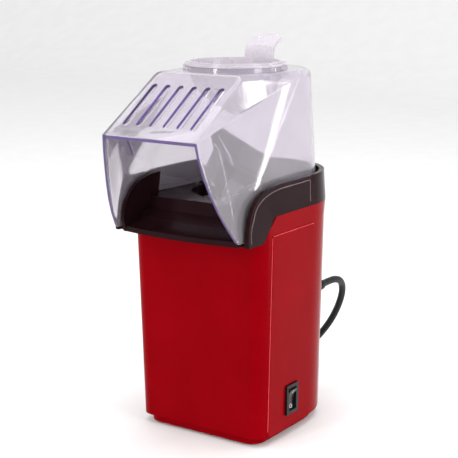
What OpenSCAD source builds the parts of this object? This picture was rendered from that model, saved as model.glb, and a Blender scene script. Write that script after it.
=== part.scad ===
// Hot-air popcorn maker: casing, chute, hood, measuring cup, blower, heater, switch and mains lead.
// The object stands on z = 0, its front faces -Y, and X = 0 is its middle plane.

/* [Body] */
// Width of the casing where it meets the collar
body_w = 126; // [122:1:130]
// Width of the casing at its foot
body_foot_w = 118.6; // [114:0.2:122]
// Height of the casing's upper edge at the sides and rear
body_top = 184.5; // [182:0.5:188]
// Height of the casing's upper edge under the chute
body_front_top = 166; // [165:0.5:167]
// Front face, measured from the middle of the footprint
body_front = 40.4; // [40:0.2:41]
// Rear of the casing, measured from the middle of the footprint
body_rear = 96; // [95:0.2:98]
// Radius of the rounded rear
rear_r = 60; // [54:1:62]
// Radius of the two front corners
front_r = 12; // [10:1:16]
// Thickness of the casing's wall
wall = 2.4; // [2:0.1:3]

/* [Chute and collar] */
// Height of the collar's rim
collar_top = 208.4; // [206:0.2:210]
// Distance from the middle of the footprint to the front of the lip
lip_front = 65.4; // [62:0.2:68]
// Height of the platform round the mouth
platform_top = 190.4; // [189:0.2:192]
// Front of the wings
wing_front = 58.8; // [56:0.2:60]

/* [Hood and cup] */
// Height of the edge of the hood's top
hood_edge_z = 285; // [280:1:288]
// Rise of the rounded top above its edge
hood_crown = 5; // [4:0.5:6]
// Distance from the middle of the footprint to the hood's lower front edge
hood_front = 96.8; // [94:0.2:98]
// Height of the hood's lower front edge
hood_front_z = 246.9; // [244:0.1:250]
// Thickness of the hood's wall
hood_wall = 2; // [1.6:0.1:2.4]
// Number of slots in the sloping panel
slot_count = 6; // [2:1:6]
// Width of each slot
slot_w = 4.6; // [3:0.2:6]
// Outer radius of the measuring cup's bowl
cup_r = 36.7; // [34:0.1:37.2]
// Height of the measuring cup's rim
cup_rim_z = 296.4; // [296:0.1:298]
// Width of the measuring cup's tab
tab_w = 27; // [20:1:32]

/* [Popping chamber and blower] */
// Distance from the middle of the footprint back to the chamber's axis
axis_y = 30; // [28:1:32]
// Outer radius of the popping chamber
chamber_r = 46; // [44:1:47]
// Height of the chamber's floor
chamber_floor = 118; // [116:1:124]
// Number of louvres in the chamber's wall
louvre_count = 18; // [8:1:24]
// Radius of the fan wheel
fan_r = 42; // [36:1:44]
// Number of fan blades
blade_count = 14; // [6:1:20]
// Radius of the motor
motor_r = 15.5; // [14:0.5:17]
// Radius of the motor's shaft
shaft_r = 1.585; // [1.5:0.005:2]

/* [Switch and lead] */
// Height of the switch's middle
switch_z = 30.6; // [28:0.2:34]
// Distance from the middle of the footprint back to the switch's middle
switch_y = 6.4; // [4:0.2:10]
// Angle that the rocker turns through
rocker_throw = 20; // [12:1:22]
// Diameter of the mains lead
cord_d = 6.2; // [5.6:0.1:6.8]

/* [Hidden] */
eps = 0.01;
slab = 0.1;
foot_z = 1.2;
plinth_top = 7;
plinth_w = 108;
plinth_front = 33.2;
band_z = 170;
flare = 0.8;
foot_front = 36.4;
seam_y = -38.4;
seam_back_y = -22.1;
wing_t = 3.6;
tray_t = 2.6;
mouth_r = 43;
chamber_top = 186;
chamber_wall = 1;
sleeve_r = 53;
sleeve_wall = 1;
blower_z = 56;
sleeve_z = 90;
ledge_top = 187.2;
tray_hw = 54.3;
tray_lean = 7.7;
lip_r = 261;
screw_angles = [45, 165, 285];
screw_ring_r = 49;
flange_r = 54;
motor_z = 18;
motor_top = 52;
cup_y = 16.4;
cup_wall = 1.8;
slope = atan((hood_edge_z - hood_front_z) / (hood_front - 37.3));
hood_top_y = -37.3;
hood_top_z = hood_edge_z + hood_crown;
hood_foot_z = 190.9;
hood_tip_z = 169.6;
cup_hole_r = 38.2;
seat_r = 41.5;
seat_top = 293;
switch_x = 60.4;
rocker_pivot_x = switch_x - 1.6;
exit_x = 24;
exit_y = 92.6;
exit_z = 95;
clamp_y = exit_y - 9.7;
relief_len = 27;
red = "firebrick";
brown = "#2c1c1e";

// ---- mains lead ----
coil_c = [-62, 143];
coil_r = 31.1;
lead_route = [
    [24, 119.6, 95], [24, 130, 95.2], [24, 141, 94.6], [23.4, 151, 91.6], [21.6, 159.4, 85.4],
    [18.6, 165.4, 76.6], [14, 169.6, 66], [8.4, 172.4, 55], [1.6, 174.6, 44], [-6.4, 176.8, 33.4],
    [-15.6, 179.2, 23], [-25.6, 181.4, 14], [-35.6, 182.8, 7.8], [-44.6, 182.2, 4.4], [-52.4, 181.2, 3.2]
];
tail_route = [
    [-43.7, 180.6, 11.2], [-51.4, 185.5, 10.8], [-62, 187.6, 8.8], [-72.9, 186.7, 6.4],
    [-83.4, 183.3, 4.4], [-92.4, 179.2, 3.5], [-100.6, 174.2, 3.3], [-107.6, 168.2, 4.2],
    [-113.4, 161.4, 6.8], [-118, 154, 10.8], [-121.8, 145.6, 15], [-124, 137, 17.3], [-124.4, 131, 17.6]
];

// ---- plan outlines ----
// Points along an arc of radius r about c, from angle a0 to a1 in n steps, starting at step first
function arc(c, r, a0, a1, n, first = 0) = [for (k = [first : n])
    c + r * [cos(a0 + (a1 - a0) * k / n), sin(a0 + (a1 - a0) * k / n)]];

// D-shaped plan: half-width hw, front at -fy, rear at ry, grown by g on every side
module d_plan(hw, fy, ry, g = 0, fr = front_r) {
    rr = min(rear_r, hw) + g;
    cx = hw + g - rr;
    cy = ry + g - rr;
    polygon(concat(
        arc([cx, cy], rr, 0, 90, 20),
        arc([-cx, cy], rr, 90, 180, 20, cx > slab ? 0 : 1),
        arc([-hw + fr, -fy + fr], fr + g, 180, 270, 8),
        arc([hw - fr, -fy + fr], fr + g, 270, 360, 8)
    ));
}

module d_slab(z, hw, fy, ry, g = 0) {
    translate([0, 0, z]) linear_extrude(eps) d_plan(hw, fy, ry, g);
}

// Tapered casing block, g larger than the nominal surface
module body_block(z0, z1, g = 0) {
    k0 = (z0 - plinth_top) / (body_top - plinth_top);
    k1 = (z1 - plinth_top) / (body_top - plinth_top);
    hull() {
        d_slab(z0, (body_foot_w + k0 * (body_w - body_foot_w)) / 2, foot_front + k0 * 4, body_rear, g);
        d_slab(z1 - eps, (body_foot_w + k1 * (body_w - body_foot_w)) / 2, foot_front + k1 * 4, body_rear, g);
    }
}

// Everything above the seam between casing and collar
module above_seam() {
    far = 130;
    rotate([90, 0, 90]) translate([0, 0, -far]) linear_extrude(2 * far)
        polygon([[-far, body_front_top], [seam_y, body_front_top], [seam_back_y, body_top], [far, body_top],
                 [far, 250], [-far, 250]]);
}

// ---- small shared shapes ----
module ring(z0, z1, ro, ri, fn = 64) {
    difference() {
        translate([0, 0, z0]) cylinder(h = z1 - z0, r = ro, $fn = fn);
        translate([0, 0, z0 - 1]) cylinder(h = z1 - z0 + 2, r = ri, $fn = fn);
    }
}

// Pan-head screw standing on its head's underside at z = 0, shank downwards
module pan_screw(len, r = 1.5, head_r = 2.8, head_h = 1.8) {
    difference() {
        union() {
            cylinder(h = head_h, r = head_r, $fn = 32);
            translate([0, 0, -len]) cylinder(h = len + eps, r = r, $fn = 24);
        }
        for (a = [0, 90]) rotate(a) translate([-head_r * 0.6, -0.4, head_h * 0.5])
            cube([head_r * 1.2, 0.8, head_h]);
    }
}

// ---- swept tube along a list of points ----
function unit(v) = v / norm(v);
function along(p, i) = unit(p[min(i + 1, len(p) - 1)] - p[max(i - 1, 0)]);
function side_of(t) = unit(abs(t[2]) > 0.9 ? cross(t, [0, 1, 0]) : cross(t, [0, 0, 1]));
function ring_at(c, t, r, n) = [for (k = [0 : n - 1])
    c + r * (cos(360 * k / n) * side_of(t) + sin(360 * k / n) * cross(side_of(t), t))];

module tube(p, r, n = 10) {
    m = len(p);
    pts = [for (i = [0 : m - 1]) each ring_at(p[i], along(p, i), r, n)];
    sides = [for (i = [0 : m - 2]) for (k = [0 : n - 1])
        [i * n + k, i * n + (k + 1) % n, (i + 1) * n + (k + 1) % n, (i + 1) * n + k]];
    start = [for (k = [0 : n - 1]) n - 1 - k];
    finish = [for (k = [0 : n - 1]) (m - 1) * n + k];
    polyhedron(concat(pts), concat([start], sides, [finish]));
}

// ---- casing ----
boss_at = [[-47.5, -22], [47.5, -22], [-40, 68], [40, 68]];

module side_panel() {
    y0 = -27;
    y1 = 36;
    bevel = 1.4;
    proud = 0.9;
    sunk = 0.3;
    run = sunk * bevel / proud;
    k = (band_z - plinth_top) / (body_top - plinth_top);
    lean = (body_w - body_foot_w) / 2 * k;
    hull() {
        translate([body_foot_w / 2 - 1.3, y0 - run, plinth_top]) cube([1.3 - sunk, y1 - y0 + 2 * run, slab]);
        translate([body_foot_w / 2, y0 + bevel, plinth_top]) cube([proud, y1 - y0 - 2 * bevel, slab]);
        translate([body_foot_w / 2 - 1.3 + lean, y0 - run, band_z + run - slab])
            cube([1.3 - sunk, y1 - y0 + 2 * run, slab]);
        translate([body_foot_w / 2 + lean, y0 + bevel, band_z - bevel - slab])
            cube([proud, y1 - y0 - 2 * bevel, slab]);
    }
}

module switch_window(g = 0) {
    translate([50, switch_y - 6.8 - g, switch_z - 10.4 - g]) cube([20, 13.6 + 2 * g, 20.8 + 2 * g]);
}

module body_shell() color(red) difference() {
    union() {
        difference() {
            union() {
                body_block(plinth_top, body_top - wall);
                hull() {
                    body_block(band_z - 1, band_z - 1 + slab, -slab);
                    d_slab(body_top + 1, body_w / 2, body_front, body_rear, flare + slab);
                }
                side_panel();
                mirror([1, 0, 0]) side_panel();
            }
            body_block(plinth_top + wall, body_top + wall, -wall);
            translate([0, 0, -1]) linear_extrude(20) d_plan(50, 30, 88);
        }
        for (b = boss_at) translate([b[0], b[1], plinth_top]) cylinder(h = 20, r = 4, $fn = 32);
    }
    above_seam();
    for (b = boss_at) translate([b[0], b[1], plinth_top - 1]) cylinder(h = 16, r = 1.4, $fn = 24);
    switch_window();
    translate([switch_x, switch_y - 9, switch_z - 12.6]) cube([5, 18, 25.2]);
    translate([exit_x, 80, exit_z]) rotate([-90, 0, 0]) cylinder(h = 20, r = 5.5, $fn = 32);
    translate([exit_x - 8, exit_y - 0.6, exit_z - 8]) cube([16, 8, 16]);
}

module base_plate() color(red) difference() {
    union() {
        translate([0, 0, foot_z]) linear_extrude(plinth_top - foot_z) d_plan(plinth_w / 2, plinth_front, 90);
        translate([0, 0, plinth_top - eps]) linear_extrude(1.6) d_plan(49.6, 29.6, 87.6);
    }
    translate([0, 0, foot_z + 2.4]) linear_extrude(12) d_plan(46, 26, 84);
    for (r = [16, 23, 30, 37]) for (a = [0 : 45 : 315])
        translate([0, axis_y, -1]) rotate(a) intake_slot(r);
    for (b = boss_at) translate([b[0], b[1], 0]) {
        cylinder(h = 20, r = 1.7, $fn = 24);
        cylinder(h = foot_z + 3, r = 3.4, $fn = 32);
        translate([0, 0, plinth_top]) cylinder(h = 10, r = 4.4, $fn = 32);
    }
    for (f = foot_at) translate([f[0], f[1], 0]) cylinder(h = foot_z + 1.2, r = 5.1, $fn = 32);
}

// Curved air slot of mean radius r, 30 degrees long
module intake_slot(r) intersection() {
    ring(0, 12, r + 1.6, r - 1.6);
    linear_extrude(12) polygon([[0, 0], [60, -16], [60, 16]]);
}

foot_at = [[-33, -18], [33, -18], [-30, 74], [30, 74]];
module rubber_feet() color("dimgray") for (f = foot_at)
    translate([f[0], f[1], 0]) cylinder(h = foot_z + 1.2, r = 5, $fn = 32);

module base_screws() color("silver") for (b = boss_at)
    translate([b[0], b[1], foot_z + 3]) mirror([0, 0, 1]) pan_screw(15, 1.35);

// ---- collar and chute ----
// Side view of one wing and the collar's wall, in (y, z)
module wing_side() polygon([
    [seam_y, body_front_top], [-wing_front, body_front_top], [-wing_front - 0.6, 172],
    [-wing_front, 181], [-wing_front + 2, 188], [-wing_front + 6, 195.5], [-wing_front + 12, 200.8],
    [-wing_front + 20, 204.6], [-wing_front + 30, 207], [-wing_front + 42, collar_top],
    [100, collar_top], [100, body_top], [seam_back_y, body_top]
]);

module collar_inner() {
    d_plan(body_w / 2 - wing_t, 36, body_rear - wing_t);
    translate([-body_w / 2 + wing_t, -90]) square([body_w - 2 * wing_t, 110]);
}

module top_collar() color(brown) {
    intersection() {
        difference() {
            union() {
                hull() {
                    d_slab(body_top, body_w / 2, body_front, body_rear, flare);
                    d_slab(collar_top - eps, body_w / 2, body_front, body_rear, -0.8);
                }
                for (s = [-1, 1]) translate([s * (body_w / 2 - wing_t / 2) - wing_t / 2, -70, 160])
                    cube([wing_t, 100, 60]);
            }
            translate([0, 0, 150]) linear_extrude(80) collar_inner();
        }
        rotate([90, 0, 90]) translate([0, 0, -80]) linear_extrude(160) wing_side();
    }
    translate([0, 0, body_top]) linear_extrude(ledge_top - body_top) difference() {
        intersection() {
            d_plan(body_w / 2 - wing_t + 0.4, 36, body_rear - wing_t + 0.4);
            translate([-70, seam_back_y]) square([140, 130]);
        }
        d_plan(54.8, 26, 88);
    }
}

// Side view of the tray's floor, step and platform edge, in (y, z)
module tray_floor_side() polygon([
    [-lip_front - 10, body_front_top], [-40, body_front_top], [-29.2, 178], [-29.2, ledge_top],
    [-20, ledge_top],
    [-20, platform_top], [-32, platform_top], [-32, 180], [-49, 170.6], [-lip_front - 10, 169.8]
]);

// Side view of the tray's side walls, in (y, z)
module tray_wall_side() polygon([
    [-29.2, body_front_top + 11], [-40, body_front_top], [-60, body_front_top], [-64, 176], [-64.6, 184],
    [-62.4, 192], [-58, 199], [-52, 204], [-44, 207.3], [-34, 209.2], [-22, 209.6], [-22, platform_top - 1]
]);

module chute_tray() color(brown) {
    intersection() {
        rotate([90, 0, 90]) translate([0, 0, -tray_hw]) linear_extrude(2 * tray_hw) tray_floor_side();
        translate([0, lip_r - lip_front, 150]) cylinder(h = 60, r = lip_r, $fn = 128);
    }
    for (s = [-1, 1]) {
        translate([s * tray_hw, 0, body_front_top]) rotate([0, -s * tray_lean, 0])
            translate([-(1 + s) / 2 * tray_t, 0, -body_front_top]) rotate([90, 0, 90])
            linear_extrude(tray_t) tray_wall_side();
        translate([s > 0 ? tray_hw - 1 : -59.3, -56, body_front_top]) cube([59.3 - tray_hw + 1, 18, 2.2]);
    }
    difference() {
        union() {
            translate([0, 0, ledge_top]) linear_extrude(platform_top - ledge_top) difference() {
                d_plan(body_w / 2 - wing_t - 0.1, 36, body_rear - wing_t - 0.1);
                translate([-80, -100]) square([160, 80]);
            }
            translate([0, axis_y, 0]) ring(chamber_top - 6, ledge_top + 1, chamber_r - 1.4, mouth_r);
        }
        translate([0, axis_y, 150]) cylinder(h = 80, r = mouth_r, $fn = 64);
        for (a = screw_angles) translate([screw_ring_r * cos(a), axis_y + screw_ring_r * sin(a), 150])
            cylinder(h = 80, r = 1.7, $fn = 24);
    }
}

// ---- hood ----
module hood_plan(hw_front, hw_rear, fy, ry, rr, i = 0) {
    cx = hw_rear - rr;
    hull() {
        for (s = [-1, 1]) translate([s * cx, ry - rr]) circle(r = rr - i, $fn = 64);
        for (s = [-1, 1]) translate([s * (hw_front - i - 1.5), -fy + i + 1.5]) circle(r = 1.5, $fn = 16);
    }
}

// Height of the sloping panel at distance d in front of the middle of the footprint
function slope_z(d) = hood_front_z - (d - hood_front) * tan(slope);

// Outline of the hood as one solid, set in by i all round and run down by below
module hood_block(i = 0, below = 0) hull() {
    fall = i / cos(slope);
    for (c = [[0, 0], [0.44, 0.7], [0.78, 2.4], [0.95, 4.6], [1, 7.4]])
        translate([0, 0, hood_edge_z + c[0] * hood_crown - i - slab]) linear_extrude(slab)
            hood_plan(41.3, 50.5, -hood_top_y, 81.6, 45, i + c[1]);
    for (p = hood_edge) translate([-p[2] + i, -p[0] + fall, min(p[1], slope_z(p[0] - fall) - fall)])
        cube([2 * (p[2] - i), slab, slab]);
    for (z = [188, 188 - below]) translate([0, 0, z]) linear_extrude(slab)
        hood_plan(54.6, 53.6, 42, 90.4, 48, i);
    translate([-57.8 + i, -62, hood_tip_z - 1 - below]) cube([2 * (57.8 - i), 8, slab]);
}

// Mouth between the side plates, cut through the front of the outline
module hood_mouth() for (k = [0 : len(hood_edge) - 2]) hull()
    for (p = [hood_edge[k], hood_edge[k + 1]])
        translate([-p[2] + hood_wall, -p[0] - 6, min(p[1], hood_front_z - hood_wall / cos(slope))])
            cube([2 * (p[2] - hood_wall), 10, slab]);

// Front edge of the side plates: distance forward, height, half-width
hood_edge = [
    [hood_front, hood_front_z, 43], [94.6, 234, 44.4], [91.4, 222, 46.2], [86.8, 208.5, 48.8],
    [81, 195, 51.8],
    [74, 182.4, 54.8], [66.6, 171.5, 57.4], [63.4, hood_tip_z - 0.7, 57.8], [53.7, hood_tip_z - 3.1, 58.1]
];

// Side view of what is cut away under the hood
module hood_underside() rotate([90, 0, 90]) translate([0, 0, -80]) linear_extrude(160)
    polygon([[-90, 150], [-90, hood_tip_z], [-54, hood_tip_z], [-33.5, hood_foot_z], [110, hood_foot_z],
    [110, 150]]);

module slot_at(x) translate([x, -65.4, 267]) rotate([slope, 0, 0]) {
    translate([-slot_w / 2, -21.6, -8]) cube([slot_w, 43.2, 20]);
    for (e = [-21.6, 21.6]) translate([0, e, -8]) cylinder(h = 20, r = slot_w / 2, $fn = 24);
}

module hood() color("thistle", 0.4) difference() {
    union() {
        difference() {
            hood_block();
            hood_block(hood_wall, 30);
            hood_mouth();
            hood_underside();
        }
        translate([0, cup_y, 0]) cylinder_shell(hood_top_z - 3, seat_top, seat_r, cup_hole_r);
        for (s = [-1, 1]) slope_rib(s);
    }
    translate([0, cup_y, 250]) cylinder(h = 60, r = cup_hole_r, $fn = 96);
    for (k = [0 : slot_count - 1]) slot_at((k - (slot_count - 1) / 2) * 12.4);
}

module cylinder_shell(z0, z1, ro, ri) difference() {
    translate([0, 0, z0]) cylinder(h = z1 - z0, r = ro, $fn = 96);
    translate([0, 0, z0 - 1]) cylinder(h = z1 - z0 + 2, r = ri, $fn = 96);
}

// Stiffening rib inside each side plate, from the sloping panel down
module slope_rib(s) hull() {
    translate([s * 42.6 - 0.8, -77, 257]) cube([1.6, 1.4, 1]);
    translate([s * 45.9 - 0.8, -57, 226]) cube([1.6, 1.4, 1]);
}

// ---- measuring cup ----
module cup_tab_side() polygon([
    [cup_y + 34.6, 293.6], [cup_y + 36.4, 293.6], [cup_y + 36.6, 301], [cup_y + 38.2, 304.8],
    [cup_y + 42, 307.6],
    [cup_y + 48.6, 310.2], [cup_y + 54.4, 312.8], [cup_y + 53.8, 314.7], [cup_y + 47.8, 312.2],
    [cup_y + 41, 309.5], [cup_y + 36.6, 306.2], [cup_y + 34.8, 301.6]
]);

module measuring_cup() color("lavender", 0.5) {
    difference() {
        union() {
            translate([0, cup_y, cup_rim_z - 1]) sphere(r = cup_r, $fn = 96);
            translate([0, cup_y, seat_top + 0.3]) cylinder(h = 1.6, r = 40.4, $fn = 96);
        }
        translate([0, cup_y, cup_rim_z - 1]) sphere(r = cup_r - cup_wall, $fn = 96);
        translate([-60, -60, cup_rim_z]) cube([120, 160, 60]);
    }
    intersection() {
        rotate([90, 0, 90]) translate([0, 0, -tab_w / 2]) linear_extrude(tab_w) cup_tab_side();
        translate([0, 0, 280]) linear_extrude(50) {
            translate([-tab_w / 2, cup_y + 30]) square([tab_w, 15.4]);
            translate([-tab_w / 2 + 9, cup_y + 30]) square([tab_w - 18, 24.4]);
            for (s = [-1, 1]) translate([s * (tab_w / 2 - 9), cup_y + 45.4]) circle(r = 9, $fn = 48);
        }
    }
}

// ---- popping chamber ----
module popping_chamber() color("silver") translate([0, axis_y, 0]) difference() {
    union() {
        translate([0, 0, chamber_floor]) cylinder(h = chamber_top - chamber_floor, r = chamber_r, $fn = 96);
        translate([0, 0, chamber_top - 1.2]) cylinder(h = 1.2, r = flange_r, $fn = 96);
    }
    translate([0, 0, chamber_floor + chamber_wall])
        cylinder(h = 80, r = chamber_r - chamber_wall, $fn = 96);
    for (k = [0 : louvre_count - 1]) rotate(k * 360 / louvre_count)
        translate([chamber_r - 4, 0, chamber_floor + 12]) rotate([35, 0, 0]) translate([0, -1.1, -7])
        cube([8, 2.2, 14]);
    for (a = screw_angles) translate([screw_ring_r * cos(a), screw_ring_r * sin(a), 150])
        cylinder(h = 60, r = 1.7, $fn = 24);
}

module chamber_gasket() color("white") translate([0, axis_y, 0]) difference() {
    ring(chamber_top, ledge_top, flange_r, chamber_r - 1);
    for (a = screw_angles) translate([screw_ring_r * cos(a), screw_ring_r * sin(a), 150])
        cylinder(h = 60, r = 1.7, $fn = 24);
}

module chamber_screws() color("silver") for (a = screw_angles)
    translate([screw_ring_r * cos(a), axis_y + screw_ring_r * sin(a), platform_top]) pan_screw(8, 1.5);

// ---- heater ----
module heater_housing() color("lightgray") translate([0, axis_y, 0]) {
    ring(sleeve_z, 182, sleeve_r, sleeve_r - sleeve_wall, 96);
    ring(sleeve_z, sleeve_z + 1, sleeve_r - 0.5, 44, 96);
}

coil_rows = [18, 28, 38];
module heater_frame() color("tan") translate([0, axis_y, 0]) difference() {
    for (a = [0, 60, 120]) rotate(a) translate([-43.4, -0.5, sleeve_z + 1.2]) cube([86.8, 1, 22]);
    for (r = coil_rows) translate([0, 0, 103]) rotate_extrude($fn = 96) translate([r, 0])
        circle(r = 2.8, $fn = 24);
    translate([0, 0, 90]) cylinder(h = 40, r = 5, $fn = 48);
}

module heating_coil() color("gray") translate([0, axis_y, 103]) for (r = [28, 38])
    rotate_extrude($fn = 96) translate([r, 0]) circle(r = 2.4, $fn = 24);

module dropper_coil() color("gray") translate([0, axis_y, 103])
    rotate_extrude($fn = 96) translate([18, 0]) circle(r = 2.4, $fn = 24);

module thermostat() color("gainsboro") translate([0, axis_y, 0]) rotate(30) translate([25, 0, 0]) {
    translate([0, 0, 108]) cylinder(h = 5, r = 8, $fn = 48);
    translate([0, 0, 113]) cylinder(h = 2.4, r = 9.4, $fn = 48);
}

module thermal_fuse() color("white") translate([0, axis_y, 110]) rotate(150) translate([25, 0, 0])
    rotate([90, 0, 0]) translate([0, 0, -6]) {
        cylinder(h = 12, r = 2, $fn = 32);
        translate([0, 0, -5]) cylinder(h = 22, r = 0.5, $fn = 16);
    }

// ---- blower ----
module fan_housing() color("dimgray") translate([0, axis_y, 0]) difference() {
    union() {
        translate([0, 0, blower_z]) cylinder(h = sleeve_z - blower_z, r = sleeve_r, $fn = 96);
        for (a = [60, 180, 300]) rotate(a) translate([46, 0, plinth_top + 2])
            cylinder(h = 50, r = 3, $fn = 32);
    }
    translate([0, 0, blower_z + 2]) cylinder(h = 60, r = sleeve_r - 2, $fn = 96);
    for (a = [0 : 60 : 300]) rotate(a) intersection() {
        ring(blower_z - 2, blower_z + 4, 30, 20);
        linear_extrude(80) polygon([[0, 0], [60, -24], [60, 24]]);
    }
    translate([0, 0, blower_z - 1]) cylinder(h = 6, r = 6, $fn = 48);
    for (s = [-1, 1]) translate([s * 10, 0, blower_z - 1]) cylinder(h = 6, r = 1.6, $fn = 24);
}

module fan_wheel() color("black") translate([0, axis_y, 0]) {
    difference() {
        union() {
            translate([0, 0, 78]) cylinder(h = 1.6, r = fan_r, $fn = 96);
            translate([0, 0, 64]) cylinder(h = 14 + eps, r = 6, $fn = 48);
            for (k = [0 : blade_count - 1]) rotate(k * 360 / blade_count)
                translate([22, 0, 64]) rotate(24) cube([fan_r - 24, 1.2, 14 + eps]);
        }
        translate([0, 0, 60]) cylinder(h = 30, r = shaft_r, $fn = 48);
    }
}

module motor_shaft() color("silver") translate([0, axis_y, 14])
    cylinder(h = 68, r = shaft_r, $fn = 48);

module motor_can() color("silver") translate([0, axis_y, 0]) difference() {
    translate([0, 0, motor_z]) cylinder(h = motor_top - motor_z, r = motor_r, $fn = 64);
    translate([0, 0, motor_z - 1]) cylinder(h = motor_top - motor_z, r = motor_r - 1, $fn = 64);
    translate([0, 0, motor_z]) cylinder(h = 60, r = 4, $fn = 48);
    for (s = [-1, 1]) translate([s * 10, 0, motor_top - 3]) cylinder(h = 6, r = 1.5, $fn = 24);
}

module motor_end_cap() color("ivory") translate([0, axis_y, 0]) difference() {
    union() {
        translate([0, 0, motor_z - 2]) cylinder(h = 2, r = motor_r, $fn = 64);
        translate([0, 0, motor_z - eps]) cylinder(h = 3, r = motor_r - 1.05, $fn = 64);
    }
    translate([0, 0, motor_z - 5]) cylinder(h = 20, r = 4, $fn = 48);
}

module motor_bearings() color("goldenrod") translate([0, axis_y, 0]) for (z = [[motor_z - 2, motor_z + 3],
[47, 53]])
    ring(z[0], z[1], 4, shaft_r + 0.035, 48);

module motor_magnets() color("#333333") translate([0, axis_y, 0]) for (a = [0, 180]) rotate(a)
    intersection() {
    ring(28, 46, motor_r - 1, motor_r - 4.4, 64);
    translate([0, -11, 20]) cube([30, 22, 40]);
}

module motor_armature() color("peru") translate([0, axis_y, 0]) difference() {
    translate([0, 0, 29]) cylinder(h = 16, r = motor_r - 5, $fn = 48);
    for (a = [0, 120, 240]) rotate(a) translate([7, -1, 20]) cube([10, 2, 40]);
    translate([0, 0, 20]) cylinder(h = 40, r = shaft_r, $fn = 48);
}

module motor_commutator() color("chocolate") translate([0, axis_y, 0]) ring(22, 27, 3.6, shaft_r, 48);

module motor_brushes() color("#222222") translate([0, axis_y, 0]) for (s = [-1, 1])
    translate([s * 6 - 2.2, -1.5, 23]) cube([4.4, 3, 3]);

module motor_bracket() color("silver") translate([0, axis_y, 0]) difference() {
    union() {
        translate([0, 0, motor_top]) cylinder(h = blower_z - motor_top, r = 13, $fn = 64);
    }
    translate([0, 0, motor_top - 1]) cylinder(h = 10, r = 6, $fn = 48);
    for (s = [-1, 1]) translate([s * 10, 0, motor_top - 1]) cylinder(h = 10, r = 1.6, $fn = 24);
}

module motor_screws() color("silver") for (s = [-1, 1])
    translate([s * 10, axis_y, blower_z + 2]) pan_screw(8, 1.4, 2.6, 1.6);

module rectifier_board() color("seagreen") translate([0, axis_y, 0]) ring(10.6, 12.2, 14, 4, 48);

module rectifier_diodes() color("#222222") translate([0, axis_y, 12.2]) for (a = [0 : 90 : 270]) rotate(a)
    translate([9.6, -2.6, 0]) rotate([-90, 0, 0]) translate([0, -1.4, 0])
        cylinder(h = 5.2, r = 1.4, $fn = 24);

// ---- switch ----
bezel_t = 2.2;
module switch_body() color("#151515") translate([switch_x, switch_y, switch_z]) difference() {
    union() {
        translate([0, -8.6, -12.2]) cube([bezel_t, 17.2, 24.4]);
        translate([-16, -6.6, -10.2]) cube([16 + eps, 13.2, 20.4]);
    }
    translate([-8.4, -5.4, -9.4]) cube([20, 10.8, 18.8]);
    translate([rocker_pivot_x - switch_x, -9, 0]) rotate([-90, 0, 0]) cylinder(h = 2.8, r = 1.25, $fn = 32);
    translate([rocker_pivot_x - switch_x, 6.2, 0]) rotate([-90, 0, 0]) cylinder(h = 2.8, r = 1.25, $fn = 32);
    for (s = [-1, 1]) translate([rocker_pivot_x - switch_x, s * 5.8 - 1, 0]) rotate([-90, 0, 0])
        cylinder(h = 2, r = 1.25, $fn = 32);
}

module rocker_side() polygon([
    [-4.6, -5.6], [-4.6, 5.6], [1.2, 8.9], [3.6, 8.5], [2.4, 4], [2, 0], [2.4, -4], [3.6, -8.5], [1.2, -8.9]
]);

module switch_rocker() color("#202020") translate([rocker_pivot_x, switch_y, switch_z])
    rotate([0, rocker_throw / 2, 0]) {
        rotate([90, 0, 0]) translate([0, 0, -5.1]) linear_extrude(10.2) rocker_side();
        translate([0, -6.3, 0]) rotate([-90, 0, 0]) cylinder(h = 12.6, r = 1.2, $fn = 32);
    }

module switch_terminals() color("gold") for (z = [-6.6, 0, 6.6])
    translate([switch_x - 25, switch_y - 3.15, switch_z + z - 0.4]) cube([9, 6.3, 0.8]);

// ---- wiring ----
module live_wire() color("saddlebrown") tube([
    [22, 87, 88], [25, 84, 76], [36, 76, 64], [48, 60, 50], [51, 44, 36], [45, 30, 26], [34, 18, 23],
    [33, 11, 23.6], [34, 6.6, 24]
], 1.1, 8);

module neutral_wire() color("royalblue") tube([
    [18, 88, 86], [8, 88.4, 74], [-8, 87.6, 63], [-20, 80, 53], [-22, 66, 42], [-17, 56, 30], [-14, 51, 20],
    [-10.5, 46.5, 14.6], [-7.6, 41.6, 13.5]
], 1.1, 8);

module motor_wires() color("firebrick") for (s = [-1, 1]) tube([
    [s * 12, axis_y - 7, 13.3], [s * 17.5, axis_y - 9, 15], [s * 20, axis_y - 11, 24],
    [s * 22, axis_y - 13, 38],
    [s * 24, axis_y - 15, 50], [s * 24.6, axis_y - 15.4, 55.4]
], 0.9, 8);

// ---- mains lead ----
module cord_clamp() color("#222222") translate([exit_x, clamp_y, exit_z]) difference() {
    translate([-7, -2.2, -6]) cube([14, 4.4, 12]);
    translate([0, -5, 0]) rotate([-90, 0, 0]) cylinder(h = 10, r = cord_d / 2, $fn = 32);
    for (s = [-1, 1]) translate([s * 5, 0, -8]) cylinder(h = 16, r = 1.25, $fn = 24);
}

module clamp_screws() color("silver") for (s = [-1, 1])
    translate([exit_x + s * 5, clamp_y, exit_z + 6]) pan_screw(10, 1.2, 1.9, 1.5);

// Moulded bush: flange outside the casing, grooved waist in the wall, tapered tail
module strain_relief() color("#1a1a1a") translate([exit_x, exit_y, exit_z]) rotate([-90, 0, 0]) difference() {
    union() {
        translate([0, 0, -6.4]) cylinder(h = 6, r = 5.3, $fn = 48);
        translate([0, 0, -0.5]) cylinder(h = 3, r = 7, $fn = 48);
        translate([0, 0, 2.4]) cylinder(h = relief_len - 2.4, r1 = 5.4, r2 = cord_d / 2 + 0.7, $fn = 48);
    }
    translate([0, 0, -10]) cylinder(h = relief_len + 20, r = cord_d / 2, $fn = 32);
}

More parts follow.
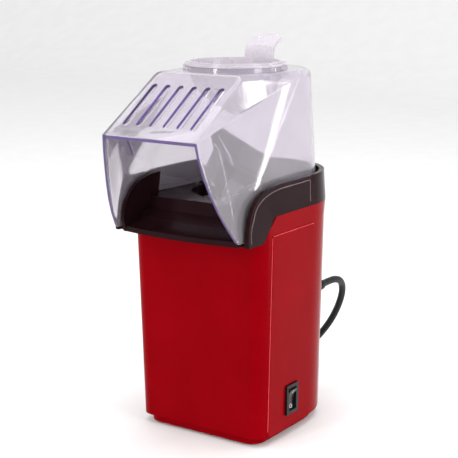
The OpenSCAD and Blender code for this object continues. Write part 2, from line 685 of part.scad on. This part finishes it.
// Catmull-Rom curve through the route's points, n steps to each span
function spline(p, n) = [for (i = [0 : len(p) - 2]) each [for (k = [0 : n - 1])
    let (t = k / n, a = p[max(i - 1, 0)], b = p[i], c = p[i + 1], d = p[min(i + 2, len(p) - 1)])
    0.5 * (2 * b + (c - a) * t + (2 * a - 5 * b + 4 * c - d) * t * t + (3 * b - a - 3 * c + d) * t * t * t)],
    p[len(p) - 1]];

module cord_lead() color("#181818") tube(spline(lead_route, 2), cord_d / 2, 12);
module cord_tail() color("#181818") tube(spline(tail_route, 2), cord_d / 2, 12);

module cord_coil() color("#181818") translate([coil_c[0], coil_c[1], 0]) rotate_extrude($fn = 96)
    translate([coil_r - cord_d / 2, 0]) square([2 * cord_d, 2 * cord_d]);

module coil_tie() color("#333333") translate([coil_c[0] - coil_r - cord_d / 2, coil_c[1], cord_d])
    difference() {
    translate([-cord_d - 1.2, -2, -cord_d + 0]) cube([2 * cord_d + 2.4, 4, 2 * cord_d + 1.2]);
    translate([-cord_d, -3, -cord_d - 1]) cube([2 * cord_d, 6, 2 * cord_d + 1]);
}

// Round two-pin plug lying on its side, pins towards -Y
plug_at = [-124.4, 131, 17.6];
module plug_body() color("#181818") translate(plug_at) rotate([90, 0, 0]) {
    cylinder(h = 12, r1 = 6, r2 = 9, $fn = 48);
    translate([0, 0, 12]) cylinder(h = 22, r = 17.6, $fn = 96);
}

module plug_pins() color("silver") translate(plug_at - [0, 34, 0]) for (s = [-1, 1])
    translate([s * 9.5, 0, 0]) rotate([90, 0, 0]) cylinder(h = 19, r = 2.4, $fn = 32);

body_shell();
base_plate();
rubber_feet();
base_screws();
top_collar();
chute_tray();
hood();
measuring_cup();
popping_chamber();
chamber_gasket();
chamber_screws();
heater_housing();
heater_frame();
heating_coil();
dropper_coil();
thermostat();
thermal_fuse();
fan_housing();
fan_wheel();
motor_can();
motor_end_cap();
motor_bearings();
motor_magnets();
motor_armature();
motor_commutator();
motor_brushes();
motor_shaft();
motor_bracket();
motor_screws();
rectifier_board();
rectifier_diodes();
switch_body();
switch_rocker();
switch_terminals();
live_wire();
neutral_wire();
motor_wires();
cord_clamp();
clamp_screws();
strain_relief();
cord_lead();
cord_coil();
cord_tail();
coil_tie();
plug_body();
plug_pins();
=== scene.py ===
"""Hot-air popcorn maker: the looks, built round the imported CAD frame.

Lengths in the tables are millimetres, and mm() turns them into metres.
"""

import math

import bmesh
import bpy
import numpy as np
from mathutils import Matrix, Vector


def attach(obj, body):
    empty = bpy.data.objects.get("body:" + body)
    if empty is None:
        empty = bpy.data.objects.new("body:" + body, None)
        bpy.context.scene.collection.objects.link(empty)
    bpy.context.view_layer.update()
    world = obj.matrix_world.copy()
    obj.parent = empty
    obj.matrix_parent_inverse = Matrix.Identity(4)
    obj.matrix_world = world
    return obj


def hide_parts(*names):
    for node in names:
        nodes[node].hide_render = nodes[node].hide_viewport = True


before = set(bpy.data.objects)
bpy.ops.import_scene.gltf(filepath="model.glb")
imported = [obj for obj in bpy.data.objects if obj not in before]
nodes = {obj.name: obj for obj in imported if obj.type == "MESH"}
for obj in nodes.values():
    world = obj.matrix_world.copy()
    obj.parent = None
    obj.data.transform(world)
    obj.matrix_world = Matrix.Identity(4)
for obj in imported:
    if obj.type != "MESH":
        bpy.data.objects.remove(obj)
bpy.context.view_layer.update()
scene = bpy.context.scene
MM = 0.001


def mm(*p):
    return Vector(p) * MM


# ---- camera ----
AIM = mm(-0.1, 8, 161.6)
AZIMUTH, ELEVATION, DISTANCE = math.radians(34.057), math.radians(12.261), 996.6 * MM
back = Vector(
    (
        math.sin(AZIMUTH) * math.cos(ELEVATION),
        -math.cos(AZIMUTH) * math.cos(ELEVATION),
        math.sin(ELEVATION),
    )
)
camera = bpy.data.objects.new("camera", bpy.data.cameras.new("camera"))
scene.collection.objects.link(camera)
camera.location = AIM + back * DISTANCE
camera.rotation_mode = "QUATERNION"
camera.rotation_quaternion = (-back).to_track_quat("-Z", "Y")
camera.data.lens = 97.0
camera.data.sensor_width = 36
camera.data.clip_start, camera.data.clip_end = 0.02, 50
scene.camera = camera
scene.view_settings.view_transform = "Standard"


# ---- materials ----
class Nodes:
    """A material under construction: its shader, links and a shared position."""

    def __init__(self, name):
        self.mat = bpy.data.materials.new(name)
        self.mat.use_nodes = True
        self.tree = self.mat.node_tree
        self.shader = self.tree.nodes["Principled BSDF"]
        self.place = self.add("ShaderNodeTexCoord").outputs["Object"]

    def add(self, kind, **inputs):
        node = self.tree.nodes.new(kind)
        for key, value in inputs.items():
            self.set(node, key.replace("_", " "), value)
        return node

    def set(self, node, key, value):
        if isinstance(value, bpy.types.NodeSocket):
            self.tree.links.new(value, node.inputs[key])
        else:
            node.inputs[key].default_value = value

    def noise(self, scale, detail=3.0, stretch=None):
        place = self.place
        if stretch:
            place = self.add("ShaderNodeMapping", Vector=place, Scale=stretch).outputs[
                0
            ]
        return self.add(
            "ShaderNodeTexNoise", Vector=place, Scale=scale, Detail=detail
        ).outputs[0]

    def ramp(self, value, low, high, span=(0.35, 0.65)):
        node = self.add("ShaderNodeMapRange", Value=value)
        node.inputs["From Min"].default_value = span[0]
        node.inputs["From Max"].default_value = span[1]
        node.inputs["To Min"].default_value = low
        node.inputs["To Max"].default_value = high
        return node.outputs[0]

    def blend(self, value, a, b, span=(0.35, 0.65)):
        node = self.add("ShaderNodeValToRGB", Fac=value)
        node.color_ramp.elements[0].position = span[0]
        node.color_ramp.elements[0].color = (*a, 1)
        node.color_ramp.elements[1].position = span[1]
        node.color_ramp.elements[1].color = (*b, 1)
        return node.outputs[0]

    def bump(self, height, strength, distance):
        node = self.add("ShaderNodeBump", Height=height)
        node.inputs["Strength"].default_value = strength
        node.inputs["Distance"].default_value = distance
        self.set(self.shader, "Normal", node.outputs[0])


def linear(*rgb):
    """sRGB 0-255 to linear."""
    out = []
    for c in rgb:
        c /= 255
        out.append(c / 12.92 if c <= 0.04045 else ((c + 0.055) / 1.055) ** 2.4)
    return tuple(out)


def moulded(
    name, dark, light, rough, grain, depth, coat=0.0, metal=0.0, detail=4.0, **constants
):
    """Moulded plastic, rubber or cast metal: mottled colour, worn sheen, fine grain."""
    n = Nodes(name)
    broad = n.noise(22, 2)
    fine = n.noise(grain, detail)
    n.set(n.shader, "Base Color", n.blend(broad, dark, light))
    n.set(n.shader, "Roughness", n.ramp(n.noise(90, 5), *rough))
    n.shader.inputs["Metallic"].default_value = metal
    n.shader.inputs["Coat Weight"].default_value = coat
    n.shader.inputs["Coat Roughness"].default_value = 0.06
    for key, value in constants.items():
        n.shader.inputs[key.replace("_", " ")].default_value = value
    n.bump(fine, 0.25, depth)
    return n.mat


def brushed(name, dark, light, rough, stretch):
    """Drawn or spun metal with fine lines along one direction."""
    n = Nodes(name)
    lines = n.noise(900, 3, stretch)
    n.set(n.shader, "Base Color", n.blend(n.noise(40, 4), dark, light))
    n.set(n.shader, "Roughness", n.ramp(lines, *rough))
    n.shader.inputs["Metallic"].default_value = 1.0
    n.bump(lines, 0.15, 0.00008)
    return n.mat


def clear(name, tint, rough, density, absorb, weight=1.0):
    """Clear moulded plastic, tinted more where light travels further in it."""
    n = Nodes(name)
    n.set(
        n.shader,
        "Base Color",
        n.blend(n.noise(30, 2), tint, tuple(min(1, c * 1.03) for c in tint)),
    )
    n.set(n.shader, "Roughness", n.ramp(n.noise(60, 4), *rough))
    n.shader.inputs["Transmission Weight"].default_value = weight
    n.shader.inputs["IOR"].default_value = 1.46
    n.bump(n.noise(55, 2), 0.12, 0.0004)
    volume = n.add("ShaderNodeVolumeAbsorption")
    volume.inputs["Color"].default_value = (*absorb, 1)
    volume.inputs["Density"].default_value = density
    n.tree.links.new(
        volume.outputs[0], n.tree.nodes["Material Output"].inputs["Volume"]
    )
    return n.mat


RED = moulded(
    "red_abs",
    linear(124, 0, 8),
    linear(130, 1, 10),
    (0.1, 0.16),
    700,
    0.00002,
    IOR=1.1,
    Specular_Tint=(1, 0.3, 0.32, 1),
)
BROWN = moulded(
    "brown_abs",
    linear(28, 13, 16),
    linear(34, 17, 20),
    (0.13, 0.22),
    700,
    0.00002,
    IOR=1.15,
    Specular_Tint=(0.7, 0.42, 0.46, 1),
)
# Painted highlight: a lighter red for the beads on the side panels' top and front edges, standing
# in for the light caught by the panel's bevel.
RED_HIGHLIGHT = moulded(
    "red_painted_highlight", linear(196, 44, 54), linear(206, 56, 64), (0.2, 0.3), 700, 0.00002
)
# Painted highlight: a lighter brown for the raised outline on the collar's sides, so it reads as
# a bright thin line.
BROWN_HIGHLIGHT = moulded(
    "brown_painted_highlight",
    linear(92, 70, 74),
    linear(104, 82, 86),
    (0.2, 0.3),
    700,
    0.00002,
)
CLEAR = clear("clear_shell", (0.87, 0.835, 0.885), (0.04, 0.08), 20, (0.72, 0.55, 0.92), 0.86)
# Painted light: the hood's own lilac tint, made deeper and denser on the cut faces to stand for
# light piped along the wall to its edges.
CLEAR_EDGE_PAINTED_LIGHT = clear(
    "clear_edge_painted_light", linear(142, 112, 196), (0.15, 0.25), 60, (0.6, 0.35, 0.85), 0.75
)
MILKY = clear(
    "milky_shell", (0.74, 0.69, 0.75), (0.25, 0.32), 20, (0.75, 0.65, 0.85), 0.45
)
BLACK = moulded(
    "black_nylon",
    linear(10, 10, 11),
    linear(17, 16, 18),
    (0.3, 0.42),
    1500,
    0.00005,
    IOR=1.35,
)
GLOSS_BLACK = moulded(
    "rocker_black", linear(14, 14, 16), linear(22, 22, 24), (0.2, 0.3), 900, 0.00002
)
RUBBER = moulded(
    "pvc_black",
    linear(9, 8, 9),
    linear(16, 14, 15),
    (0.4, 0.55),
    1200,
    0.00008,
    IOR=1.35,
)
STEEL = brushed("steel", (0.5, 0.5, 0.5), (0.6, 0.59, 0.58), (0.24, 0.4), (1, 1, 14))
ALUMINIUM = brushed(
    "aluminium", (0.72, 0.72, 0.73), (0.84, 0.84, 0.84), (0.22, 0.42), (1, 1, 18)
)
MICA = moulded(
    "mica", linear(176, 150, 108), linear(208, 184, 140), (0.4, 0.6), 300, 0.0002
)
SILICONE = moulded(
    "silicone", linear(214, 210, 202), linear(228, 225, 218), (0.4, 0.52), 500, 0.00006
)
BRASS = brushed("brass", (0.7, 0.5, 0.2), (0.8, 0.6, 0.28), (0.25, 0.4), (1, 1, 10))
COPPER = brushed("copper", (0.72, 0.34, 0.2), (0.8, 0.42, 0.26), (0.3, 0.45), (1, 1, 30))
BOARD = moulded(
    "board", linear(28, 92, 58), linear(40, 112, 70), (0.3, 0.42), 260, 0.00008
)
NYLON = moulded(
    "nylon", linear(206, 198, 176), linear(222, 216, 196), (0.36, 0.5), 500, 0.00006
)
MAGNET = moulded(
    "ferrite", linear(42, 42, 46), linear(58, 58, 62), (0.5, 0.7), 700, 0.0001
)
WIRE_BROWN = moulded(
    "wire_brown", linear(96, 52, 26), linear(116, 66, 34), (0.35, 0.5), 900, 0.00004
)
WIRE_BLUE = moulded(
    "wire_blue", linear(24, 66, 150), linear(36, 84, 176), (0.35, 0.5), 900, 0.00004
)
WIRE_RED = moulded(
    "wire_red", linear(156, 22, 22), linear(180, 34, 30), (0.35, 0.5), 900, 0.00004
)
PRINT = moulded(
    "white_print", linear(226, 226, 222), linear(238, 238, 235), (0.4, 0.5), 900, 0.00002
)

FINISH = {
    RED: "body_shell base_plate",
    BROWN: "top_collar chute_tray",
    CLEAR: "hood",
    MILKY: "measuring_cup",
    RUBBER: "rubber_feet strain_relief cord_lead cord_coil cord_tail",
    STEEL: "base_screws chamber_screws heater_housing motor_can motor_shaft motor_bracket"
    " motor_screws clamp_screws heating_coil dropper_coil",
    ALUMINIUM: "popping_chamber thermostat",
    SILICONE: "chamber_gasket thermal_fuse",
    MICA: "heater_frame",
    BLACK: "fan_housing fan_wheel switch_body cord_clamp coil_tie plug_body rectifier_diodes",
    GLOSS_BLACK: "switch_rocker motor_brushes",
    NYLON: "motor_end_cap",
    BRASS: "motor_bearings switch_terminals plug_pins",
    MAGNET: "motor_magnets",
    COPPER: "motor_armature motor_commutator",
    BOARD: "rectifier_board",
    WIRE_BROWN: "live_wire",
    WIRE_BLUE: "neutral_wire",
    WIRE_RED: "motor_wires",
}
finish_of = {}
for material, names in FINISH.items():
    for name in names.split():
        nodes[name].data.materials.clear()
        nodes[name].data.materials.append(material)
        finish_of[name] = material


# ---- shared builders ----
def add_object(name, data, body, slot, *stands_for):
    ob = bpy.data.objects.new(name, data)
    scene.collection.objects.link(ob)
    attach(ob, body)
    if stands_for:
        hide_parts(*stands_for)
    return ob


def smooth(bm, sharp_over=40.0):
    bm.normal_update()
    for f in bm.faces:
        f.smooth = True
    for e in bm.edges:
        e.smooth = not (
            e.is_manifold and e.calc_face_angle(0.0) > math.radians(sharp_over)
        )


def to_object(bm, name, body, slot, materials, *stands_for, sharp_over=40.0):
    smooth(bm, sharp_over)
    me = bpy.data.meshes.new(name)
    bm.to_mesh(me)
    bm.free()
    for material in materials:
        me.materials.append(material)
    ob = add_object(name, me, body, slot, *stands_for)
    mod = ob.modifiers.new("even_normals", "WEIGHTED_NORMAL")
    mod.keep_sharp = True
    return ob


def cad_mesh(node):
    """A bmesh of a CAD node with its split corners joined and flat areas in one face."""
    bm = bmesh.new()
    bm.from_mesh(nodes[node].data)
    bmesh.ops.remove_doubles(bm, verts=bm.verts, dist=2e-6)
    bmesh.ops.dissolve_degenerate(bm, edges=bm.edges, dist=2e-6)
    bmesh.ops.dissolve_limit(
        bm, angle_limit=math.radians(0.4), verts=bm.verts, edges=bm.edges
    )
    return bm


def round_edges(bm, width, over=28.0, segments=2, keep=None):
    edges = [
        e
        for e in bm.edges
        if e.is_manifold
        and e.calc_face_angle(0.0) > math.radians(over)
        and (keep is None or keep(e))
    ]
    bmesh.ops.bevel(
        bm,
        geom=edges,
        offset=width * MM,
        offset_type="OFFSET",
        segments=segments,
        profile=0.5,
        affect="EDGES",
        clamp_overlap=True,
    )


def refined(node, body, slot, width, over=28.0, segments=2, name=None):
    bm = cad_mesh(node)
    round_edges(bm, width, over, segments)
    return to_object(
        bm, name or node + "_moulded", body, slot, [finish_of[node]], node
    )


# ---- mains lead, laid first because the model's room depends on it ----
CORD_D = 6.2
EXIT = (24, 92.6, 95)
COIL_C = (-62, 143)
LEAD_ROUTE = [
    (24, 119.6, 95), (24, 130, 95.2), (24, 141, 94.6), (23.4, 151, 91.6), (21.6, 159.4, 85.4),
    (18.6, 165.4, 76.6), (14, 169.6, 66), (8.4, 172.4, 55), (1.6, 174.6, 44), (-6.4, 176.8, 33.4),
    (-15.6, 179.2, 23), (-25.6, 181.4, 14), (-35.6, 182.8, 7.8), (-44.6, 182.2, 4.4),
    (-52.4, 181.2, 3.2),
]
TAIL_ROUTE = [
    (-43.7, 180.6, 11.2), (-51.4, 185.5, 10.8), (-62, 187.6, 8.8), (-72.9, 186.7, 6.4),
    (-83.4, 183.3, 4.4), (-92.4, 179.2, 3.5), (-100.6, 174.2, 3.3), (-107.6, 168.2, 4.2),
    (-113.4, 161.4, 6.8), (-118, 154, 10.8), (-121.8, 145.6, 15), (-124, 137, 17.3),
    (-124.4, 131, 17.6),
]
COIL_PLAN = [  # angle, radius, height of the turns' middle
    (90, 37.5, 3.1), (396, 37.3, 3.1), (436, 31.1, 3.1), (756, 31.1, 3.1), (796, 31.1, 9.3),
    (1116, 31.1, 9.3), (1156, 37.3, 9.3), (1480, 37.3, 9.3),
]


def smoothstep(t):
    return t * t * (3 - 2 * t)


def coil_points(step=6):
    out = []
    for (a0, r0, z0), (a1, r1, z1) in zip(COIL_PLAN, COIL_PLAN[1:]):
        for a in np.arange(a0, a1, step):
            s = smoothstep((a - a0) / (a1 - a0))
            r, z, t = r0 + s * (r1 - r0), z0 + s * (z1 - z0), math.radians(a)
            out.append((COIL_C[0] + r * math.cos(t), COIL_C[1] + r * math.sin(t), z))
    return out


def spline(points, spacing=2.0):
    """Even points along a smooth curve through the given ones (Catmull-Rom, centripetal)."""
    p = np.array(points, float)
    p = np.vstack([2 * p[0] - p[1], p, 2 * p[-1] - p[-2]])
    out = []
    for i in range(1, len(p) - 2):
        k = [0.0]
        for j in range(3):
            k.append(k[-1] + np.linalg.norm(p[i + j] - p[i + j - 1]) ** 0.5)
        for t in np.linspace(k[1], k[2], 12, endpoint=False):
            a = [
                (k[j + 1] - t) / (k[j + 1] - k[j]) * p[i - 1 + j]
                + (t - k[j]) / (k[j + 1] - k[j]) * p[i + j]
                for j in range(3)
            ]
            b = [
                (k[j + 2] - t) / (k[j + 2] - k[j]) * a[j]
                + (t - k[j]) / (k[j + 2] - k[j]) * a[j + 1]
                for j in range(2)
            ]
            out.append((k[2] - t) / (k[2] - k[1]) * b[0] + (t - k[1]) / (k[2] - k[1]) * b[1])
    out.append(p[-2])
    out = np.array(out)
    along = np.concatenate([[0], np.cumsum(np.linalg.norm(np.diff(out, axis=0), axis=1))])
    at = np.linspace(0, along[-1], int(along[-1] / spacing) + 1)
    return np.array([[np.interp(d, along, out[:, c]) for c in range(3)] for d in at])


def turned(
    name, outline, centre, axis, body, slot, material, *stands_for, sides=64, sharp_over=40.0
):
    """A solid of revolution: outline is (distance along axis, radius) in mm from centre."""
    bm = bmesh.new()
    side = axis.orthogonal().normalized()
    other = axis.cross(side)
    rings = []
    for along, radius in outline:
        if radius <= 0:
            rings.append([bm.verts.new(centre + axis * along * MM)])
            continue
        rings.append(
            [
                bm.verts.new(
                    centre
                    + axis * along * MM
                    + (side * math.cos(a) + other * math.sin(a)) * radius * MM
                )
                for a in (2 * math.pi * k / sides for k in range(sides))
            ]
        )
    for lower, upper in zip(rings, rings[1:]):
        for k in range(sides):
            j = (k + 1) % sides
            if len(lower) == 1:
                bm.faces.new((lower[0], upper[j], upper[k]))
            elif len(upper) == 1:
                bm.faces.new((lower[k], lower[j], upper[0]))
            else:
                bm.faces.new((lower[k], lower[j], upper[j], upper[k]))
    bmesh.ops.recalc_face_normals(bm, faces=bm.faces)
    return to_object(bm, name, body, slot, [material], *stands_for, sharp_over=sharp_over)


lead_path = spline([EXIT, (24, 101, 95), (24, 110, 95), *LEAD_ROUTE, *coil_points(), *TAIL_ROUTE])
lead_curve = bpy.data.curves.new("mains_lead", "CURVE")
lead_curve.dimensions = "3D"
lead_curve.bevel_depth = CORD_D / 2 * MM
lead_curve.bevel_resolution = 5
lead_curve.use_fill_caps = True
line = lead_curve.splines.new("POLY")
line.points.add(len(lead_path) - 1)
for point, p in zip(line.points, lead_path):
    point.co = (*(float(c) * MM for c in p), 1)
lead_curve.materials.append(RUBBER)
lead = add_object(
    "mains_lead", lead_curve, "root", "black_rubber", "cord_lead", "cord_coil", "cord_tail"
)

RELIEF_RINGS = [(0.4, 7.6), (2.2, 7.6), (2.6, 7.2)]
for k in range(7):
    z0 = 3.6 + k * 3.1
    r = 6.5 - 0.33 * k
    RELIEF_RINGS += [(z0, r - 0.9), (z0 + 0.3, r), (z0 + 1.9, r - 0.1), (z0 + 2.2, r - 1.0)]
RELIEF_RINGS += [(25.4, 3.9), (26.8, 3.6), (27, 3.3)]
relief = turned(
    "strain_relief_ribbed",
    [(0.4, 0), *RELIEF_RINGS, (27, 0)],
    mm(*EXIT),
    Vector((0, 1, 0)),
    "root",
    "black_rubber",
    RUBBER,
    "strain_relief",
)

PLUG_AT = mm(-124.4, 131, 17.6)
plug = turned(
    "plug_moulded",
    [(0.2, 0), (0.2, 4.4), (1, 5.2), (3.4, 5.4), (3.8, 4.9), (5.2, 5.0), (5.6, 5.9), (8.4, 6.3),
     (8.8, 5.8), (10.2, 6.2), (10.8, 7.6), (11.8, 10.5), (12.6, 14.4), (14, 16.8), (16, 17.5),
     (30, 17.5), (32.4, 16.9), (33.8, 15), (33.9, 0)],
    PLUG_AT,
    Vector((0, -1, 0)),
    "root",
    "black_plastic",
    BLACK,
    "plug_body",
)

# ---- casing, collar and chute ----
refined("body_shell", "root", "red_plastic", 0.5, name="casing_moulded")
refined("base_plate", "root", "red_plastic", 0.5, name="base_moulded")
refined("top_collar", "root", "brown_plastic", 0.7, over=24, segments=3, name="collar_moulded")
refined("chute_tray", "root", "brown_plastic", 0.6, name="tray_moulded")

# ---- raised outline on each side of the collar, in lighter brown as a painted highlight ----
BEAD_R = 0.5
BEAD = [
    (-55.2, 169), (-55.9, 173), (-55.4, 180), (-53.6, 186.3), (-50, 192.8), (-44.8, 197.5),
    (-37.4, 201), (-28, 203.3), (-16, 204.7), (0, 204.9), (15, 204.9), (28.6, 204.9),
    (28.9, 204.4), (28.9, 196), (28.9, 188),
]


WING_HALF, FLARE_HALF, FLARE_DROP = 63.0, 63.8, 1.6
FLARE_Z, FLARE_RISE = 184.5, 23.9


def collar_side(z):
    """Half-width of the collar's outside at height z: flat on the wing, flared above it."""
    if z <= FLARE_Z:
        return WING_HALF
    return max(WING_HALF, FLARE_HALF - FLARE_DROP * (z - FLARE_Z) / FLARE_RISE)


for side, tag in ((1, "right"), (-1, "left")):
    bead = bpy.data.curves.new("collar_bead_" + tag, "CURVE")
    bead.dimensions = "3D"
    bead.bevel_depth = BEAD_R * MM
    bead.bevel_resolution = 3
    bead.use_fill_caps = True
    route = spline([(side * (collar_side(z) - 0.35), y, z) for y, z in BEAD], 1.5)
    line = bead.splines.new("POLY")
    line.points.add(len(route) - 1)
    for point, p in zip(line.points, route):
        point.co = (*(float(c) * MM for c in p), 1)
    bead.materials.append(BROWN_HIGHLIGHT)
    add_object("collar_bead_" + tag, bead, "root", "brown_plastic")


PANEL_TOP, PANEL_FOOT, PANEL_Y = 169.2, 12, (-26.3, 35.3)


def wall_side(z):
    """Half-width of the casing at height z."""
    return 59.3 + 3.7 * (z - 7) / 177.5


def bead_line(name, points, radius, material, slot):
    curve = bpy.data.curves.new(name, "CURVE")
    curve.dimensions = "3D"
    curve.bevel_depth = radius * MM
    curve.bevel_resolution = 3
    curve.use_fill_caps = True
    line = curve.splines.new("POLY")
    line.points.add(len(points) - 1)
    for point, p in zip(line.points, points):
        point.co = (*(float(c) * MM for c in p), 1)
    curve.materials.append(material)
    return add_object(name, curve, "root", slot)


# Beads along each side panel's top and front edge, in the lighter red: a painted highlight on the
# panel's bevel.
for side, tag in ((1, "right"), (-1, "left")):
    y0, y1 = PANEL_Y
    corner = [
        (y0 + 2 * (1 - math.sin(a)), PANEL_TOP - 2 * (1 - math.cos(a)))
        for a in np.linspace(math.pi / 2, 0, 6)
    ]
    route = [(y0, PANEL_FOOT), *corner, (y1, PANEL_TOP)]
    bead_line(
        "panel_highlight_" + tag,
        [(side * (wall_side(z) + 0.35), y, z) for y, z in route],
        0.32,
        RED_HIGHLIGHT,
        "red_plastic",
    )

# ---- hood ----
SLOPE_N = Vector((0, -0.54, 0.842))


def is_cut_edge(f):
    """Faces across the wall's thickness: the front opening's rim, and inside the air slots."""
    c, n = f.calc_center_median() / MM, f.normal
    rim = n.z < -0.15 and n.y < -0.25 and c.y < -52 and c.z < 250
    slot = abs(n.dot(SLOPE_N)) < 0.3 and -92 < c.y < -42 and c.z > 252 and abs(c.x) < 37
    return rim or slot


bm = cad_mesh("hood")
bm.normal_update()
cut_faces = [f for f in bm.faces if is_cut_edge(f)]
# The cut faces take the deeper lilac copy: painted light at the front rim and the slot edges.
for f in cut_faces:
    f.material_index = 1
round_edges(bm, 0.35, over=30)
to_object(bm, "hood_moulded", "hood", "clear_plastic", [CLEAR, CLEAR_EDGE_PAINTED_LIGHT], "hood", sharp_over=30)
refined("measuring_cup", "cup", "clear_plastic", 0.35, over=30, name="cup_moulded")

# ---- switch ----
refined("switch_body", "root", "black_plastic", 0.5, name="switch_bezel")
refined("switch_rocker", "rocker", "black_plastic", 0.35, name="rocker_moulded")

ROCKER_PIVOT, ROCKER_TILT = mm(58.8, 6.4, 30.6), math.radians(10)
ROCKER_PLACE = Matrix.Translation(ROCKER_PIVOT) @ Matrix.Rotation(ROCKER_TILT, 4, "Y")


def mark(name, outline, lower):
    """A printed mark on one half of the rocker: a closed or open line of (across, up) points."""
    curve = bpy.data.curves.new(name, "CURVE")
    curve.dimensions = "3D"
    curve.bevel_depth = 0.2 * MM
    curve.bevel_resolution = 2
    curve.use_fill_caps = True
    line = curve.splines.new("POLY")
    line.points.add(len(outline) - 1)
    out = 1 if lower else -1
    for point, (across, up) in zip(line.points, outline):
        z = -6.2 * out + up * 0.966
        x = 2.4 + (abs(z) - 4) * 1.2 / 4.5 - 0.02
        point.co = (*(ROCKER_PLACE @ (Vector((x, across, z)) * MM)), 1)
    line.use_cyclic_u = len(outline) > 2
    curve.materials.append(PRINT)
    add_object(name, curve, "rocker", "black_plastic")


MARK_R, MARK_HALF = 1.55, 1.5
RING = [
    (MARK_R * math.cos(a), MARK_R * math.sin(a))
    for a in np.linspace(0, 2 * math.pi, 28, endpoint=False)
]
mark("mark_off", RING, True)
mark("mark_on", [(0, -MARK_HALF), (0, MARK_HALF)], False)

# ---- floor, backdrop and lights ----
bm = bmesh.new()
REACH, SWEEP_Y, SWEEP_R, BACKDROP_TOP = 9.0, 2.2, 0.8, 3.0
FLOOR_GAP = 0.0005
profile = [(-REACH, 0.0), (SWEEP_Y, 0.0)]
profile += [
    (SWEEP_Y + SWEEP_R * math.sin(a), SWEEP_R * (1 - math.cos(a)))
    for a in np.linspace(0.15, math.pi / 2, 12)
]
profile.append((SWEEP_Y + SWEEP_R, BACKDROP_TOP))
rows = [
    [bm.verts.new((x, y, z - FLOOR_GAP)) for x in (-REACH, REACH)] for y, z in profile
]
for a, b in zip(rows, rows[1:]):
    bm.faces.new((a[0], a[1], b[1], b[0]))
for f in bm.faces:
    f.smooth = True
floor_mesh = bpy.data.meshes.new("floor")
bm.to_mesh(floor_mesh)
bm.free()
floor_mesh.materials.append(
    moulded("paper", (0.86, 0.86, 0.86), (0.88, 0.88, 0.88), (0.6, 0.7), 60, 0.0001)
)
floor = bpy.data.objects.new("floor", floor_mesh)
scene.collection.objects.link(floor)

world = bpy.data.worlds.new("studio")
world.use_nodes = True
sky = world.node_tree.nodes["Background"]
sky.inputs["Color"].default_value = (1, 1, 1, 1)
sky.inputs["Strength"].default_value = 0.95
scene.world = world


def area_light(name, place, aim, width, height, power):
    data = bpy.data.lights.new(name, "AREA")
    data.shape = "RECTANGLE"
    data.size, data.size_y, data.energy = width, height, power
    ob = bpy.data.objects.new(name, data)
    scene.collection.objects.link(ob)
    ob.location = place
    ob.rotation_mode = "QUATERNION"
    ob.rotation_quaternion = (Vector(aim) - Vector(place)).to_track_quat("-Z", "Y")


MIDDLE = (0, 0, 0.16)
area_light("key", (-0.28, -1.5, 0.4), MIDDLE, 0.22, 1.2, 9)
area_light("fill", (-1.1, -0.7, 1.0), MIDDLE, 0.8, 0.8, 4)
area_light("side", (1.4, -0.1, 0.55), MIDDLE, 0.5, 0.8, 9)
area_light("rim", (1.0, 0.9, 0.3), MIDDLE, 0.06, 1.2, 3)
area_light("top", (0.1, 0.1, 1.6), MIDDLE, 1.2, 1.2, 10)
